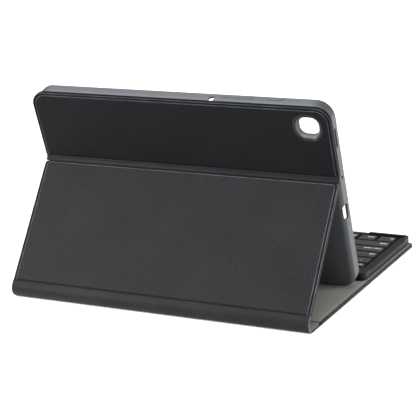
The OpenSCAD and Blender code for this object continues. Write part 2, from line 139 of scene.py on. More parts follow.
class Finish:
    def __init__(self, name, roughness=0.5, **constants):
        self.material = bpy.data.materials.new(name)
        self.material.use_nodes = True
        self.tree = self.material.node_tree
        self.shader = self.tree.nodes["Principled BSDF"]
        self.shader.inputs["Roughness"].default_value = roughness
        for key, value in constants.items():
            self.shader.inputs[key.replace("_", " ")].default_value = value

    def add(self, kind, settings, sockets, output=0):
        node = self.tree.nodes.new(kind)
        for key, value in settings.items():
            if key == "stops":
                ramp = node.color_ramp
                while len(ramp.elements) < len(value):
                    ramp.elements.new(0.5)
                for element, (position, shade) in zip(ramp.elements, value):
                    element.position = position
                    element.color = shade
            else:
                setattr(node, key, value)
        for key, value in sockets.items():
            if isinstance(value, Level):
                self.tree.links.new(value.socket, node.inputs[key])
            else:
                node.inputs[key].default_value = value
        return Level(self, node.outputs[output])

    def feed(self, name, level):
        self.tree.links.new(level.socket, self.shader.inputs[name])

    def place(self, origin=(0, 0, 0), lean=0):
        # millimetres in a panel's own frame: x across, y up the panel, z from its outer face inwards
        where = self.add("ShaderNodeTexCoord", {}, {}, "Object")
        where = self.add("ShaderNodeMapping", {"vector_type": "TEXTURE"}, {
            "Vector": where, "Location": tuple(v * mm for v in origin),
            "Rotation": (math.radians(lean), 0, 0), "Scale": (mm, mm, mm)})
        parts = [self.add("ShaderNodeSeparateXYZ", {}, {0: where}, index) for index in range(3)]
        return where, parts

    def noise(self, where, size, detail=2.0, rough=0.5):
        # size is the width of one blotch, in millimetres
        return self.add("ShaderNodeTexNoise", {}, {
            "Vector": where, "Scale": 1 / size, "Detail": detail, "Roughness": rough})

    def cells(self, where, size, feature="F1"):
        return self.add("ShaderNodeTexVoronoi", {"feature": feature}, {"Vector": where, "Scale": 1 / size})

    def stretch(self, where, scale):
        return self.add("ShaderNodeMapping", {}, {"Vector": where, "Scale": scale})

    def blendColour(self, amount, first, second):
        return self.add("ShaderNodeMix", {"data_type": "RGBA"}, {0: amount, 6: first, 7: second}, 2)

    def bump(self, height, depth, strength=1.0, under=None):
        sockets = {"Height": height, "Distance": depth * mm, "Strength": strength}
        if under:
            sockets["Normal"] = under
        return self.add("ShaderNodeBump", {}, sockets)

    def roundedDistance(self, x, y, halfWide, low, high, corner):
        # distance outwards from a rounded outline, in millimetres, negative inside it
        outX = abs(x) - (halfWide - corner)
        outY = abs(y - (low + high) / 2) - ((high - low) / 2 - corner)
        outside = (outX.high(0) ** 2 + outY.high(0) ** 2) ** 0.5
        return outside + outX.high(outY).low(0) - corner


def grey(value, warm=0.0):
    return (value * (1 + warm), value, value * (1 - warm), 1)


def shade(colour, amount):
    return tuple(channel * amount for channel in colour[:3]) + (1,)


# Every leather panel has the same fine grain; only its colour, the outline of its crest and the strength of the crest's
# painted highlight change
leather = dict(pebble=0.62, crease=2.6, depth=0.055, roughness=0.47, shine=0.07, crestWide=0.3, channelDark=0.3)


def makeLeather(name, colour, origin=(0, 0, 0), lean=0, outline=None, crests=(), channel=None, crestHighlight=4.0,
                roughness=None):
    finish = Finish(name, leather["roughness"], Specular_IOR_Level=leather["shine"])
    where, (x, y, z) = finish.place(origin, lean)
    cloudy = finish.noise(where, 38, 3)
    fibre = finish.noise(where, 1.4, 4, 0.6)
    pebble = finish.cells(where, leather["pebble"])
    crease = finish.cells(where, leather["crease"], "DISTANCE_TO_EDGE").between(0, 0.16)
    mottle = (cloudy * 0.4 + fibre * 0.75 + pebble * 0.3 - 0.3).between(0.15, 0.8)
    tone = finish.blendColour(mottle, shade(colour, 0.62), shade(colour, 1.45))
    crestHighlightWear = None
    if outline:
        rim = finish.roundedDistance(x, y, *outline)
        # painted shade: the channel pressed round the rim is drawn darker
        if channel:
            channelShade = 1 - abs(rim + channel[0]).between(channel[1] * 0.45, channel[1])
            tone = finish.blendColour(channelShade * 0.8, tone, shade(colour, leather["channelDark"]))
        # painted highlight with some wear: thin lines along the rim's crests are drawn lighter, broken up by noise
        for crest in crests:
            line = 1 - abs(rim + crest).between(leather["crestWide"] * 0.4, leather["crestWide"] * 1.6)
            crestHighlightWear = line if crestHighlightWear is None else crestHighlightWear.high(line)
        crestHighlightWear = crestHighlightWear * (0.45 + finish.noise(where, 9, 3).between(0.3, 0.7) * 0.55)
        tone = finish.blendColour(crestHighlightWear * 0.8, tone, shade(colour, crestHighlight))
    rough = (roughness or leather["roughness"]) + cloudy * 0.1 + pebble * 0.08 - 0.09
    if crestHighlightWear:
        rough = rough - crestHighlightWear * 0.1
    finish.feed("Base Color", tone)
    finish.feed("Roughness", rough)
    slack = finish.bump(finish.noise(where, 26, 2), 0.22, 0.5)
    grain = finish.bump(pebble * 0.7 + fibre * 0.5 + crease * 0.35, leather["depth"], 0.75, slack)
    finish.feed("Normal", grain)
    return finish.material


def makeLining(name, colour, outline=None, press=()):
    finish = Finish(name, 0.93, Sheen_Weight=0.25, Sheen_Roughness=0.5, Specular_IOR_Level=0.2)
    where, (x, y, z) = finish.place()
    nap = finish.noise(where, 0.35, 3, 0.7)
    brushed = finish.noise(finish.stretch(where, (0.12, 1.4, 1.0)), 3.5, 3)
    cloudy = finish.noise(where, 30, 3)
    mottle = (nap * 0.6 + brushed * 0.25 + cloudy * 0.35 - 0.1).between(0.15, 0.85)
    tone = finish.blendColour(mottle, shade(colour, 0.8), shade(colour, 1.2))
    height = nap
    if outline:
        rim = finish.roundedDistance(x, y, *outline)
        line = None
        for crest in press:
            mark = 1 - abs(rim + crest).between(0.1, 0.7)
            line = mark if line is None else line.high(mark)
        tone = finish.blendColour(line * 0.75, tone, shade(colour, 1.55))
        height = nap + line * 2.0
    finish.feed("Base Color", tone)
    finish.feed("Roughness", 0.86 + nap * 0.12)
    finish.feed("Normal", finish.bump(height, 0.05, 0.8))
    return finish.material


# painted shade on the tray: its back and the pocket's edges just inside the slots
trayShade = dict(back=(2.9, 5.8), flat=(3.2, 4.2), roundFrom=(120.5, 121.5), below=(0, 4), pocket=(108, 118),
                 skin=(123.4, 123.8), amount=0.72, dark=0.12)


def makePlastic(name, colour, roughness, texture=0.12, depth=0.012, origin=(0, 0, 0), lean=0, ridges=None,
                shaded=False, **constants):
    finish = Finish(name, roughness, **constants)
    where, (x, y, z) = finish.place(origin, lean)
    spark = finish.noise(where, texture, 3, 0.6)
    cloudy = finish.noise(where, 24, 3)
    rubbed = finish.noise(finish.stretch(where, (0.3, 1.0, 1.0)), 5, 4, 0.65).between(0.56, 0.8)
    mottle = (spark * 0.5 + cloudy * 0.6 - 0.05).between(0.1, 0.9)
    tone = finish.blendColour(mottle, shade(colour, 0.9), shade(colour, 1.1))
    tone = finish.blendColour(rubbed * 0.22, tone, shade(colour, 1.35))
    if shaded:
        # painted shade: the tray's back, where the stand shades it, and the pocket just inside its slots are drawn
        # darker
        rounding = abs(x).between(*trayShade["roundFrom"])
        back = (1 - z.between(*trayShade["back"])) * rounding + (1 - z.between(*trayShade["flat"])) * (1 - rounding)
        low = back * (1 - y.between(*trayShade["below"]))
        inside = abs(x).between(*trayShade["pocket"]) * (1 - abs(x).between(*trayShade["skin"]))
        tone = finish.blendColour(low.high(inside) * trayShade["amount"], tone, shade(colour, trayShade["dark"]))
    finish.feed("Base Color", tone)
    finish.feed("Roughness", roughness + cloudy * 0.08 + spark * 0.06 - rubbed * 0.1 - 0.05)
    normal = finish.bump(spark, depth, 0.7)
    if ridges:
        lines = None
        for level in ridges:
            line = 1 - abs(z - level).between(0.05, 0.42)
            lines = line if lines is None else lines.high(line)
        normal = finish.bump(lines, 0.16, 1.0, normal)
    finish.feed("Normal", normal)
    return finish.material


def makeRing(name, colour, inner, outline, band, origin, lean):
    # black outside, and the tray's grey where the slope nears the hole
    finish = Finish(name, 0.34, Specular_IOR_Level=0.3)
    where, (x, y, z) = finish.place(origin, lean)
    middle, halfWide, low, high, corner = outline
    spark = finish.noise(where, 0.3, 3, 0.6)
    rim = finish.roundedDistance(x - middle, y, halfWide, low, high, corner)
    black = finish.blendColour(spark, shade(colour, 0.8), shade(colour, 1.3))
    tone = finish.blendColour(rim.between(band, band + 0.15), inner, black)
    finish.feed("Base Color", tone)
    finish.feed("Roughness", 0.28 + spark * 0.12)
    finish.feed("Normal", finish.bump(spark, 0.01, 0.6))
    return finish.material


def makeMetal(name, colour, roughness, along=(0.05, 1, 1)):
    finish = Finish(name, roughness, Metallic=1.0)
    where, parts = finish.place()
    brushed = finish.noise(finish.stretch(where, along), 0.25, 4, 0.6)
    stain = finish.noise(where, 6, 4)
    tone = finish.blendColour((stain * 0.7 + brushed * 0.4).between(0.3, 0.8), shade(colour, 0.8), colour)
    finish.feed("Base Color", tone)
    finish.feed("Roughness", roughness + brushed * 0.16 + stain * 0.1 - 0.12)
    finish.feed("Normal", finish.bump(brushed, 0.008, 0.5))
    return finish.material


def makeBoard(name, colour):
    finish = Finish(name, 0.95)
    where, parts = finish.place()
    fibre = finish.noise(finish.stretch(where, (0.25, 1, 1)), 0.5, 5, 0.7)
    fleck = finish.cells(where, 1.7).between(0.02, 0.12)
    tone = finish.blendColour(fibre, shade(colour, 0.7), shade(colour, 1.25))
    finish.feed("Base Color", finish.blendColour((1 - fleck) * 0.5, tone, shade(colour, 0.45)))
    finish.feed("Roughness", 0.85 + fibre * 0.12)
    finish.feed("Normal", finish.bump(fibre, 0.05, 0.6))
    return finish.material


def makeCircuit(name, colour):
    finish = Finish(name, 0.3, Coat_Weight=0.4)
    where, (x, y, z) = finish.place()
    tracks = finish.cells(finish.stretch(where, (1, 2.4, 1)), 1.6, "DISTANCE_TO_EDGE").between(0.03, 0.07)
    pads = finish.cells(where, 2.1).between(0.16, 0.2)
    tone = finish.blendColour(tracks, shade(colour, 1.9), colour)
    finish.feed("Base Color", finish.blendColour(pads, (0.55, 0.5, 0.36, 1), tone))
    finish.feed("Roughness", 0.25 + pads * 0.15)
    finish.feed("Normal", finish.bump(tracks * 0.4 + pads * 0.3, 0.04, 0.6))
    return finish.material


# Frames of the leaning parts, and the finishes

stance = dict(lean=16.5, slope=54.1, spineRadius=7.0)
slope = math.radians(stance["slope"])
lean = math.radians(stance["lean"])
foldAt = jointPlace["fold_hinge"]
standTurn = 180 - stance["slope"]
trayTurn = 90 - stance["lean"]
spineMid = Vector((0, jointPlace["spine_base_hinge"].y, stance["spineRadius"]))
upStand = Vector((0, -math.cos(slope), math.sin(slope)))
outStand = Vector((0, math.sin(slope), math.cos(slope)))
upTray = Vector((0, math.sin(lean), math.cos(lean)))
outTray = Vector((0, math.cos(lean), -math.sin(lean)))
rollAt = spineMid + outStand * stance["spineRadius"]
standFrame = dict(origin=tuple(rollAt), lean=standTurn)
trayFrame = dict(origin=tuple(foldAt), lean=trayTurn)

# the cover's leather is darker than the stand's: partly its own colour, partly painted shade for the cover's face
# turned away from the light
tints = dict(cover=(0.0044, 0.0046, 0.0054, 1), stand=(0.0112, 0.0116, 0.0127, 1), fold=(0.0105, 0.0108, 0.0118, 1),
             spine=(0.0135, 0.0139, 0.0151, 1), lining=(0.108, 0.107, 0.095, 1), tray=(0.086, 0.0925, 0.1, 1),
             ring=(0.003, 0.003, 0.0034, 1), case=(0.0045, 0.0047, 0.0053, 1), cap=(0.024, 0.0245, 0.0265, 1))

coverHalf = 125.5
backLeatherFinish = makeLeather("backLeather", tints["cover"], outline=(coverHalf, -30, 58.5, 12), crests=(2.75, 0.55),
                                channel=(1.7, 1.1), crestHighlight=14.0, roughness=0.42, **trayFrame)
standLeatherFinish = makeLeather("standLeather", tints["stand"], outline=(coverHalf, -30, 105.1, 5),
                                 crests=(2.65, 0.45), channel=(1.6, 1.1), crestHighlight=8.5, **standFrame)
frontLeatherFinish = makeLeather("frontLeather", tints["stand"], outline=(coverHalf, -109.6, 130, 5), crests=(0.35,))
foldLeatherFinish = makeLeather("foldLeather", tints["fold"])
spineLeatherFinish = makeLeather("spineLeather", tints["spine"], outline=(coverHalf, 60, 140, 1), crests=(0.1,),
                                 crestHighlight=12.0)
frontLiningFinish = makeLining("frontLining", tints["lining"], (125.5, -109.6, 89.5, 7), (3.4, 1.0))
liningFinish = makeLining("lining", tints["lining"])
trayFinish = makePlastic("trayRubber", tints["tray"], 0.62, 0.2, 0.012, ridges=(8.6, 11.6), shaded=True,
                         **trayFrame)
ringFinish = makeRing("ringBlack", tints["ring"], tints["tray"], (-106.5, 7.75, 35.1, 48.9, 5.6), 1.5, **trayFrame)
caseFinish = makePlastic("caseShell", tints["case"], 0.42, Specular_IOR_Level=0.2)
capFinish = makePlastic("keyCap", tints["cap"], 0.42, 0.1, 0.01, Specular_IOR_Level=0.3)
legendFinish = makePlastic("legendWhite", (0.9, 0.9, 0.9, 1), 0.6, 0.2, 0.004)
buttonFinish = makePlastic("buttonBlack", (0.014, 0.014, 0.015, 1), 0.4)
lensFinish = makePlastic("lensMilky", (0.78, 0.8, 0.83, 1), 0.25, 0.3, 0.004, Transmission_Weight=0.3)
footFinish = makePlastic("footRubber", (0.013, 0.013, 0.014, 1), 0.8, 0.15, 0.02)
cadFinishes = {
    "front_board": makeBoard("greyBoard", (0.3, 0.27, 0.23, 1)),
    "cover_magnets": makeMetal("magnetNickel", (0.62, 0.61, 0.58, 1), 0.3),
    "bonding_sheet": makeBoard("bondingSheet", (0.66, 0.66, 0.64, 1)),
    "key_grid": makePlastic("gridBlack", (0.007, 0.007, 0.008, 1), 0.5),
    "support_plate": makeMetal("plateSteel", (0.5, 0.5, 0.5, 1), 0.38),
    "switch_membrane": makePlastic("membraneFilm", (0.02, 0.02, 0.022, 1), 0.3, 0.6, 0.01),
    "rubber_domes": makePlastic("silicone", (0.33, 0.33, 0.33, 1), 0.45, Subsurface_Weight=0.1),
    "scissor_frames": makePlastic("acetal", (0.7, 0.7, 0.68, 1), 0.4),
    "main_board": makeCircuit("solderMask", (0.018, 0.11, 0.045, 1)),
    "battery": makeMetal("cellFoil", (0.6, 0.6, 0.62, 1), 0.35, (1, 1, 1)),
    "charging_port": makeMetal("portSteel", (0.5, 0.5, 0.51, 1), 0.3),
    "case_screws": makeMetal("screwZinc", (0.1, 0.1, 0.1, 1), 0.35),
}
for twin, first in (("stand_board", "front_board"), ("back_board", "front_board"),
                    ("keyboard_magnets", "cover_magnets")):
    cadFinishes[twin] = cadFinishes[first]
for name, material in cadFinishes.items():
    slots = nodes[name].material_slots
    if not slots:
        nodes[name].data.materials.append(material)
    for each in slots:
        each.material = material
print("materials made")


# Modelling helpers. Sizes are in millimetres.

def clearSelection():
    if bpy.context.mode != "OBJECT":
        bpy.ops.object.mode_set(mode="OBJECT")
    bpy.ops.object.select_all(action="DESELECT")


def only(piece):
    clearSelection()
    piece.select_set(True)
    bpy.context.view_layer.objects.active = piece


def applyPlace(piece):
    only(piece)
    bpy.ops.object.transform_apply(location=True, rotation=True, scale=True)


def startBlock(name, low, high):
    clearSelection()
    middle = [(a + b) / 2 * mm for a, b in zip(low, high)]
    bpy.ops.mesh.primitive_cube_add(size=1, location=middle)
    block = bpy.context.object
    block.name = name
    block.data.name = name
    block.scale = [(b - a) * mm for a, b in zip(low, high)]
    applyPlace(block)
    return block


def choose(piece, kind, test):
    if bpy.context.mode != "EDIT_MESH":
        only(piece)
        bpy.ops.object.mode_set(mode="EDIT")
    bpy.ops.mesh.select_mode(type=kind)
    bpy.ops.mesh.select_all(action="DESELECT")
    shape = bmesh.from_edit_mesh(piece.data)
    shape.normal_update()
    items = {"VERT": shape.verts, "EDGE": shape.edges, "FACE": shape.faces}[kind]
    for item in items:
        if test(item):
            item.select_set(True)
    shape.select_flush_mode()
    bmesh.update_edit_mesh(piece.data)


def facing(axis, sign, level=None):
    # faces that look along one axis, and lie at a level on it if one is given
    def test(face):
        if face.normal[axis] * sign < 0.99:
            return False
        return level is None or abs(face.calc_center_median()[axis] / mm - level) < 0.02
    return test


def along(axis, test=None):
    # straight edges that run along one axis
    def check(edge):
        a, b = (v.co for v in edge.verts)
        step = b - a
        if step.length < 1e-9 or abs(step[axis]) / step.length < 0.999:
            return False
        return test is None or test((a + b) / 2 / mm)
    return check


def atLevel(axis, level):
    # edges that lie in one plane
    def check(edge):
        return all(abs(v.co[axis] / mm - level) < 0.02 for v in edge.verts)
    return check


def bevelEdges(width, segments, profile=0.5):
    bpy.ops.mesh.bevel(offset=width * mm, offset_type="OFFSET", segments=segments, profile=profile, affect="EDGES")


def insetFaces(width, depth=0.0):
    bpy.ops.mesh.inset(thickness=width * mm, depth=depth * mm, use_even_offset=True)


def extrudeBy(step):
    bpy.ops.mesh.extrude_region_move(TRANSFORM_OT_translate={"value": tuple(v * mm for v in step)})


def applyModifier(piece, kind, **settings):
    only(piece)
    modifier = piece.modifiers.new(kind.lower(), kind)
    for key, value in settings.items():
        setattr(modifier, key, value)
    bpy.ops.object.modifier_apply(modifier=modifier.name)


def cutAway(piece, *cutters):
    clearSelection()
    for cutter in cutters:
        applyModifier(piece, "BOOLEAN", operation="DIFFERENCE", object=cutter, solver="EXACT")
        bpy.data.objects.remove(cutter)


def soften(piece, width, segments=2, angle=32):
    applyModifier(piece, "BEVEL", width=width * mm, segments=segments, limit_method="ANGLE",
                  angle_limit=math.radians(angle), use_clamp_overlap=True)


def smoothOff(piece, angle=42):
    only(piece)
    bpy.ops.object.shade_smooth_by_angle(angle=math.radians(angle))
    applyModifier(piece, "WEIGHTED_NORMAL", keep_sharp=True, weight=60)


def standUp(piece, origin, lean):
    piece.rotation_euler = (math.radians(lean), 0, 0)
    piece.location = Vector(origin) * mm
    applyPlace(piece)


def pill(name, centre, size, axis, radius, steps=6):
    # a block whose four edges along one axis are round
    low = [c - s / 2 for c, s in zip(centre, size)]
    high = [c + s / 2 for c, s in zip(centre, size)]
    block = startBlock(name, low, high)
    choose(block, "EDGE", along(axis))
    bevelEdges(radius, steps)
    clearSelection()
    return block


def dress(piece, material, body=None, replaced=()):
    piece.data.materials.clear()
    piece.data.materials.append(material)
    if body:
        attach(piece, body)
    if replaced:
        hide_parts(*replaced)


def joinAll(name, pieces):
    clearSelection()
    for piece in pieces:
        piece.select_set(True)
    bpy.context.view_layer.objects.active = pieces[0]
    if len(pieces) > 1:
        bpy.ops.object.join()
    pieces[0].name = name
    pieces[0].data.name = name
    return pieces[0]


# Wrapped panels: outer face down at z = 0, with a rim that slopes away from a crest, and room for the board

def wrappedPanel(name, wide, low, high, thick, corner, band, bandDeep, hem, skin, border=None, meets=()):
    panel = startBlock(name, (-wide / 2, low, bandDeep), (wide / 2, high, thick))
    choose(panel, "EDGE", along(2, lambda at: at.y > high - 1))
    bevelEdges(corner, 10)
    choose(panel, "FACE", facing(2, -1))
    insetFaces(band, bandDeep)
    if border:
        choose(panel, "FACE", facing(2, -1, 0))
        insetFaces(border["inset"])
        insetFaces(border["half"], -border["deep"])
        insetFaces(border["half"], border["deep"])
    for edge, way, reach, deep in meets:
        # beside a fold the channel runs into the fold's own groove: edge's place, its side, reach and depth
        choose(panel, "VERT", lambda v: v.co.z / mm < bandDeep + 0.3 and (edge - v.co.y / mm) * way < reach)
        shape = bmesh.from_edit_mesh(panel.data)
        for v in shape.verts:
            if v.select:
                inside = (edge - v.co.y / mm) * way
                share = min(1, max(0, (reach - inside) / (reach - 2.6)))
                v.co.y += way * 1.5 * min(1, inside / 2.6) * share * mm
                if inside < 1.2:
                    v.co.z = max(v.co.z, deep * mm)
        bmesh.update_edit_mesh(panel.data)
    choose(panel, "FACE", facing(2, 1, thick))
    insetFaces(hem)
    extrudeBy((0, 0, skin - thick))
    clearSelection()
    return panel


backPanel = dict(wide=251, low=2.0, high=58.5, thick=2.75, corner=12, band=0.45, bandDeep=0.35,
                 hem=1.15, skin=0.8, border=dict(inset=0.45, half=0.85, deep=0.62),
                 meets=((2.0, -1, 3.2, 0.62),))
cameraHole = dict(x=-106.5, up=42.0, wide=15.5, high=13.8, corner=5.6, rim=3.8)

backLeather = wrappedPanel("backLeather", **backPanel)
hole = pill("hole", (cameraHole["x"], cameraHole["up"], 1.5),
            (cameraHole["wide"] + 2 * cameraHole["rim"], cameraHole["high"] + 2 * cameraHole["rim"], 6), 2,
            cameraHole["corner"] + cameraHole["rim"], 10)
cutAway(backLeather, hole)
soften(backLeather, 0.28, 3, 14)
smoothOff(backLeather)
standUp(backLeather, **trayFrame)
dress(backLeather, backLeatherFinish, "tray", ["back_skin"])

# The black ring slopes from the leather's hole in to the tray's
ringShape = dict(outer=0.02, inner=2.72, lip=0.3, dip=1.0)
ring = pill("cameraRing", (cameraHole["x"], cameraHole["up"], (ringShape["outer"] + ringShape["inner"]) / 2),
            (cameraHole["wide"] + 2 * cameraHole["rim"] - 0.1, cameraHole["high"] + 2 * cameraHole["rim"] - 0.1,
             ringShape["inner"] - ringShape["outer"]), 2, cameraHole["corner"] + cameraHole["rim"] - 0.05, 12)
choose(ring, "FACE", facing(2, -1))
insetFaces(ringShape["lip"], -0.32)
insetFaces(0.5, 0.3)
insetFaces(0.5, 0.0)
insetFaces(ringShape["dip"], -0.75)
choose(ring, "FACE", facing(2, 1))
insetFaces(cameraHole["rim"] - 0.1)
choose(ring, "FACE", lambda face: abs(face.normal.z) > 0.99 and face.calc_area() / mm / mm > 100)
bpy.ops.mesh.bridge_edge_loops()
clearSelection()
soften(ring, 0.15, 3, 18)
smoothOff(ring)
standUp(ring, **trayFrame)
dress(ring, ringFinish, "tray", ["camera_ring"])

standPanel = dict(wide=251, low=3.3, high=103.6, thick=2.6, corner=5, band=0.45, bandDeep=0.35,
                  hem=1.15, skin=0.8, border=dict(inset=0.45, half=0.8, deep=0.55),
                  meets=((103.6, 1, 5.2, 0.55), (3.3, -1, 3.2, 0.2)))
standLeather = wrappedPanel("standLeather", **standPanel)
soften(standLeather, 0.22, 3, 14)
smoothOff(standLeather)
standUp(standLeather, **standFrame)
dress(standLeather, standLeatherFinish, "stand_panel", ["stand_skin"])

frontPanel = dict(wide=251, low=-88.1, high=109.6, thick=2.6, corner=5, band=0.5, bandDeep=0.35,
                  hem=1.15, skin=0.8)
frontLeather = wrappedPanel("frontLeather", **frontPanel)
frontLeather.rotation_euler = (0, 0, math.pi)
applyPlace(frontLeather)
soften(frontLeather, 0.2, 3, 14)
smoothOff(frontLeather)
dress(frontLeather, frontLeatherFinish, "front_cover", ["front_skin"])
print("panels made")

# Linings
frontSheet = dict(half=124.28, low=-108.4, high=88.05, bottom=2.11, edge=2.42, top=2.6, border=2.2, corner=6)
frontLining = startBlock("frontLining", (-frontSheet["half"], frontSheet["low"], frontSheet["bottom"]),
                         (frontSheet["half"], frontSheet["high"], frontSheet["edge"]))
choose(frontLining, "EDGE", along(2, lambda at: at.y < 0))
bevelEdges(3.8, 8)
choose(frontLining, "FACE", facing(2, 1))
insetFaces(frontSheet["border"])
inner = frontSheet["high"] - frontSheet["border"]
choose(frontLining, "VERT", lambda v: abs(v.co.y / mm - inner) < 0.05 and v.co.z / mm > 2.3)
bpy.ops.mesh.bevel(offset=frontSheet["corner"] * mm, segments=8, affect="VERTICES")
choose(frontLining, "FACE", lambda face: face.normal.z > 0.99 and face.calc_area() > 0.01)
insetFaces(0.45, frontSheet["top"] - frontSheet["edge"])
clearSelection()
soften(frontLining, 0.12, 2, 12)
smoothOff(frontLining)
dress(frontLining, frontLiningFinish, "front_cover", ["front_lining"])

standSheet = dict(half=124.25, low=3.6, high=102.4, outer=2.12, inner=2.6, corner=3.8)
standLining = startBlock("standLining", (-standSheet["half"], standSheet["low"], standSheet["outer"]),
                         (standSheet["half"], standSheet["high"], standSheet["inner"]))
choose(standLining, "EDGE", along(2, lambda at: at.y > 50))
bevelEdges(standSheet["corner"], 8)
choose(standLining, "FACE", facing(2, 1))
insetFaces(2.4)
insetFaces(0.4, -0.1)
insetFaces(0.4, 0.1)
clearSelection()
soften(standLining, 0.12, 2, 10)
smoothOff(standLining)
standUp(standLining, **standFrame)
dress(standLining, liningFinish, "stand_panel", ["stand_lining"])
print("linings made")


# Soft strips: one edge across the cover is drawn out step by step along its section

def softStrip(name, section, half, thick, inward):
    clearSelection()
    bpy.ops.mesh.primitive_plane_add(size=1)
    strip = bpy.context.object
    strip.name = name
    strip.data.name = name
    strip.scale = (2 * half * mm, mm, mm)
    applyPlace(strip)
    choose(strip, "VERT", lambda v: v.co.y > 0)
    bpy.ops.mesh.delete(type="VERT")
    choose(strip, "VERT", lambda v: True)
    first = section[0] - Vector((0, -0.5, 0))
    bpy.ops.transform.translate(value=tuple(first * mm))
    for before, after in zip(section, section[1:]):
        extrudeBy(after - before)
    clearSelection()
    if strip.data.polygons[0].normal.dot(inward) > 0:
        only(strip)
        bpy.ops.object.mode_set(mode="EDIT")
        bpy.ops.mesh.select_all(action="SELECT")
        bpy.ops.mesh.flip_normals()
        clearSelection()
    applyModifier(strip, "SOLIDIFY", thickness=thick * mm, offset=-1)
    choose(strip, "FACE", lambda face: abs(face.normal.x) > 0.9)
    bpy.ops.mesh.region_to_loop()
    bevelEdges(0.18, 2)
    clearSelection()
    only(strip)
    bpy.ops.object.shade_smooth_by_angle(angle=math.radians(50))
    return strip


def arc(radius, start, end, steps):
    # points round the spine's roll; angles in degrees from +Y, upwards
    points = []
    for step in range(steps + 1):
        angle = math.radians(start + (end - start) * step / steps)
        points.append(spineMid + Vector((0, math.cos(angle), math.sin(angle))) * radius)
    return points


spineStrip = dict(skin=0.8, lining=0.5, flatFrom=88.05)
middleAngle = -90 + (180 - stance["slope"]) / 2
endAngle = 90 - stance["slope"]
radius = stance["spineRadius"]

lowerOuter = [Vector((0, y, 0)) for y in (spineStrip["flatFrom"], 92, 96, 98.5, 100, 101.3)]
lowerOuter += arc(radius, -90, middleAngle, 14)
spineLower = softStrip("spineLowerLeather", lowerOuter, coverHalf, spineStrip["skin"], Vector((0, 0, 1)))
dress(spineLower, spineLeatherFinish, None, ["spine_skin"])
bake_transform(spineLower)

upperOuter = arc(radius, middleAngle, endAngle, 14)
upperOuter += [rollAt + upStand * step for step in (0.7, 1.5, 2.3)]
upperOuter += [rollAt + upStand * 2.8 - outStand * 0.05, rollAt + upStand * 3.1 - outStand * 0.16,
               rollAt + upStand * 3.25 - outStand * 0.34]
spineUpper = softStrip("spineUpperLeather", upperOuter, coverHalf, spineStrip["skin"], Vector((0, -1, 0)))
dress(spineUpper, spineLeatherFinish, None, ["spine_skin"])
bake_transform(spineUpper)

inside = spineStrip["skin"] + spineStrip["lining"]
lowerInner = [Vector((0, y, z)) for y, z in ((88.08, 2.4), (88.7, 2.3), (89.5, 1.9), (90.4, 1.5), (91.6, inside),
                                             (94, inside), (97, inside), (99.5, inside), (101.2, inside))]
lowerInner += arc(radius - inside, -90, middleAngle, 12)
liningLower = softStrip("spineLowerLining", lowerInner, 124.3, spineStrip["lining"] - 0.02, Vector((0, 0, -1)))
dress(liningLower, liningFinish, None, ["spine_lining"])
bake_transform(liningLower)

upperInner = arc(radius - inside, middleAngle, endAngle, 12)
for up, deep in ((0.8, inside), (1.5, inside), (2.3, 1.5), (3.0, 2.1), (3.5, 2.5)):
    upperInner.append(rollAt + upStand * up - outStand * deep)
liningUpper = softStrip("spineUpperLining", upperInner, 124.3, spineStrip["lining"] - 0.02, Vector((0, 1, 0)))
dress(liningUpper, liningFinish, None, ["spine_lining"])
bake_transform(liningUpper)

# The fold strip dips into a groove beside each panel
foldStrip = dict(half=125.1, skin=0.8, standSide=((-2.72, -0.95), (-2.6, -0.72), (-2.35, -0.4), (-2.0, -0.16),
                                                 (-1.6, -0.03), (-1.1, 0.0)),
                 traySide=((0.8, 0.0), (1.2, -0.05), (1.5, -0.2), (1.75, -0.45), (1.9, -0.75), (1.97, -0.95)))
foldSection = [foldAt + upStand * up + outStand * out for up, out in foldStrip["standSide"]]
foldEnd = [foldAt + upTray * up + outTray * out for up, out in foldStrip["traySide"]]
near, far = foldSection[-1], foldEnd[0]
for step in (0.2, 0.4, 0.6, 0.8):
    foldSection.append(near * (1 - step) ** 2 + foldAt * 2 * step * (1 - step) + far * step ** 2)
foldSection += foldEnd
foldLeather = softStrip("foldLeather", foldSection, foldStrip["half"], foldStrip["skin"], Vector((0, -1, 0)))
dress(foldLeather, foldLeatherFinish)
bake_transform(foldLeather)
print("strips made")


# Tray, in its own frame: x across, y up the tray, z towards the tablet's glass

tray = dict(wide=248, top=58.7, tall=157.8, back=2.8, thick=10.8, corner=13, backEdge=4.0, lipEdge=1.5,
            wall=1.6, floor=1.8, lip=1.8, reach=1.6, pocketEdge=2.6)
# across or up, length, width, depth
leftSlots = [(30.5, 16, 2.6, 7.8), (-2.5, 3, 2.6, 8.2), (-31, 12.6, 5.6, 6.5)]
rightSlots = [(13.8, 16, 2.6, 7.8), (-20.2, 13.4, 5.6, 7.6), (-54.2, 16, 2.6, 7.8)]
topSlots = [(-30, 4.8, 4.6, 6.3), (-49.7, 25.6, 4.2, 9.6), (-80.2, 13.4, 4.2, 9.6)]

bottom = tray["top"] - tray["tall"]
front = tray["back"] + tray["thick"]
tabletTray = startBlock("tabletTray", (-tray["wide"] / 2, bottom, tray["back"]),
                        (tray["wide"] / 2, tray["top"], front))
choose(tabletTray, "EDGE", along(2))
bevelEdges(tray["corner"], 12)
choose(tabletTray, "EDGE", atLevel(2, tray["back"]))
bevelEdges(tray["backEdge"], 5)
choose(tabletTray, "EDGE", atLevel(2, front))
bevelEdges(tray["lipEdge"], 4)
clearSelection()

